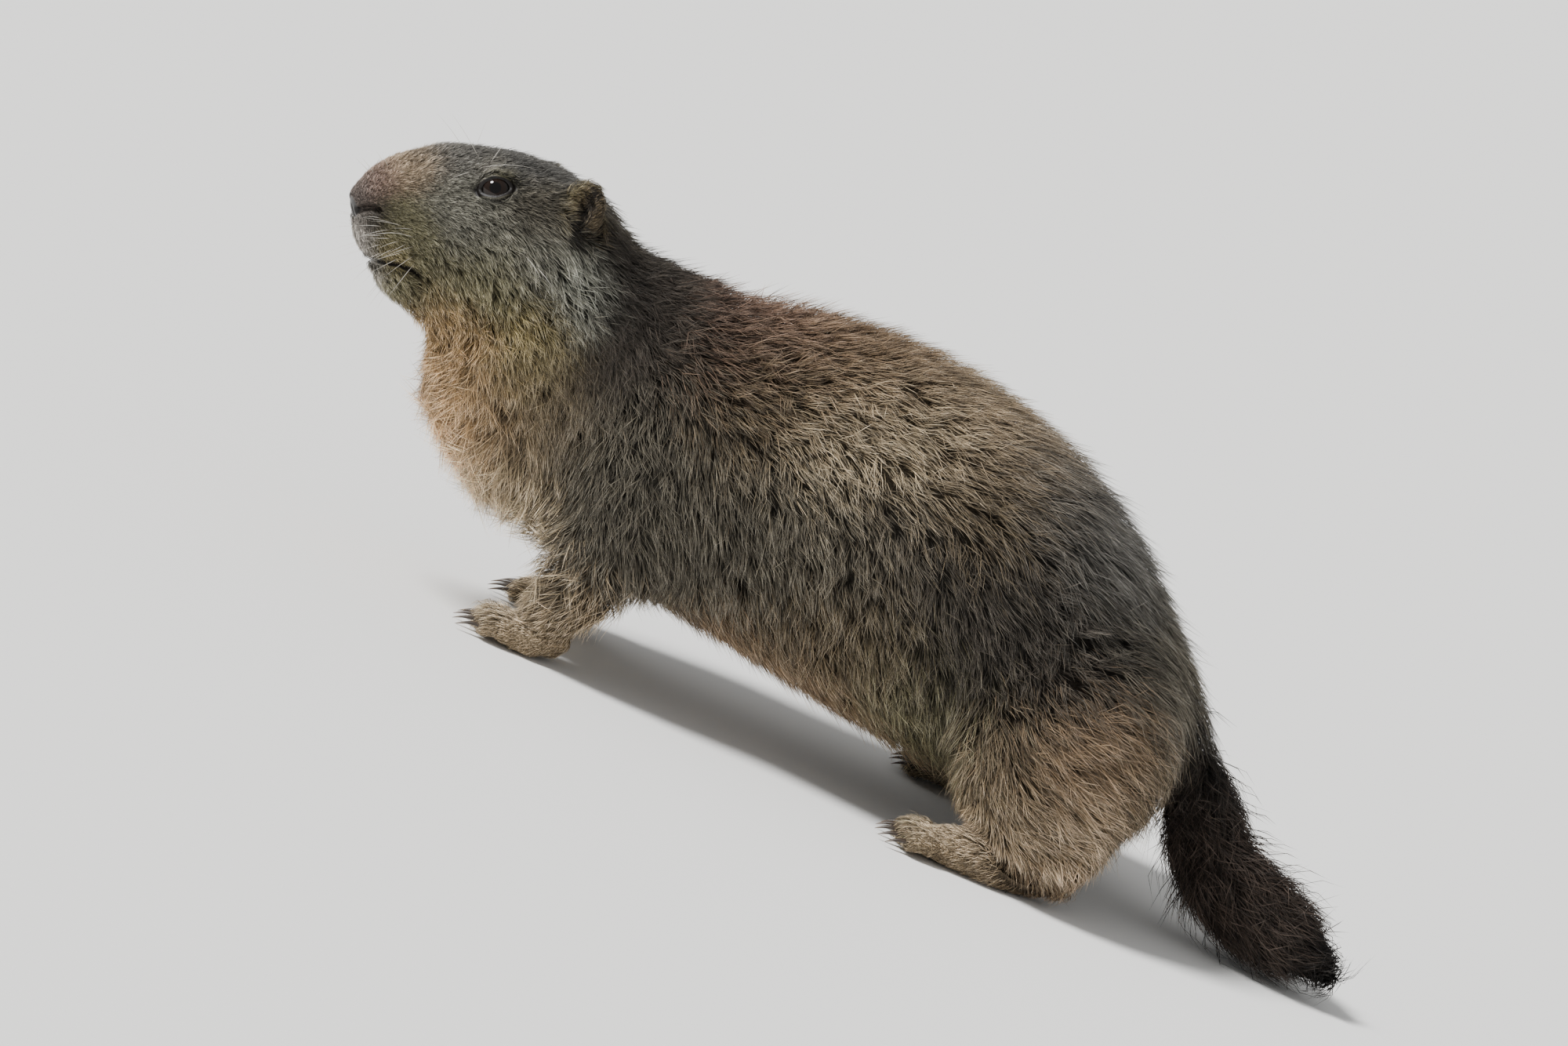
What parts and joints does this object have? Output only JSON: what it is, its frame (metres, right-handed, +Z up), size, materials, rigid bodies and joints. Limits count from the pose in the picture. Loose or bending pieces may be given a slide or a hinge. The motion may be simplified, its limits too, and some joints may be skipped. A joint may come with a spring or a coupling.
{
  "type": "alpine marmot",
  "caption": "Life-size still model of a grown alpine marmot, standing with its neck stretched forward, head turned a little to its left, bushy tail laid behind.",
  "frame": {"origin": "middle of the animal's bounding box, on the floor it stands on", "axes": "+X the way the body faces, +Y the animal's left, +Z up"},
  "size_m": [0.5742, 0.1838, 0.2075],
  "materials": {
    "fur_crown": "short grizzled fur",
    "fur_chin": "short pale fur",
    "fur_neck": "dark grizzled fur",
    "fur_back": "long grizzled fur",
    "fur_shoulder": "long brown fur",
    "fur_haunch": "long buff fur",
    "fur_shin": "buff fur",
    "fur_ear": "short fur",
    "fur_tail": "long dark fur",
    "foot_skin": "short fur on bare soles",
    "nose_skin": "moist skin",
    "eye": "wet and dark",
    "claw": "horn"
  },
  "bodies": {
    "root": {"head": "fur_crown", "lower_jaw": "fur_chin", "nose": "nose_skin", "eye_left": "eye", "ear_left": "fur_ear", "eye_right": "eye", "ear_right": "fur_ear", "neck": "fur_neck", "torso": "fur_back", "upper_arm_left": "fur_shoulder", "forearm_left": "fur_shin", "forefoot_left": "foot_skin", "claw_fore_left_1": "claw", "claw_fore_left_2": "claw", "claw_fore_left_3": "claw", "claw_fore_left_4": "claw", "upper_arm_right": "fur_shoulder", "forearm_right": "fur_shin", "forefoot_right": "foot_skin", "claw_fore_right_1": "claw", "claw_fore_right_2": "claw", "claw_fore_right_3": "claw", "claw_fore_right_4": "claw", "thigh_left": "fur_haunch", "shin_left": "fur_shin", "hind_foot_left": "foot_skin", "claw_hind_left_1": "claw", "claw_hind_left_2": "claw", "claw_hind_left_3": "claw", "claw_hind_left_4": "claw", "claw_hind_left_5": "claw", "thigh_right": "fur_haunch", "shin_right": "fur_shin", "hind_foot_right": "foot_skin", "claw_hind_right_1": "claw", "claw_hind_right_2": "claw", "claw_hind_right_3": "claw", "claw_hind_right_4": "claw", "claw_hind_right_5": "claw", "tail_root": "fur_tail", "tail_brush": "fur_tail"}
  },
  "joints": []
}
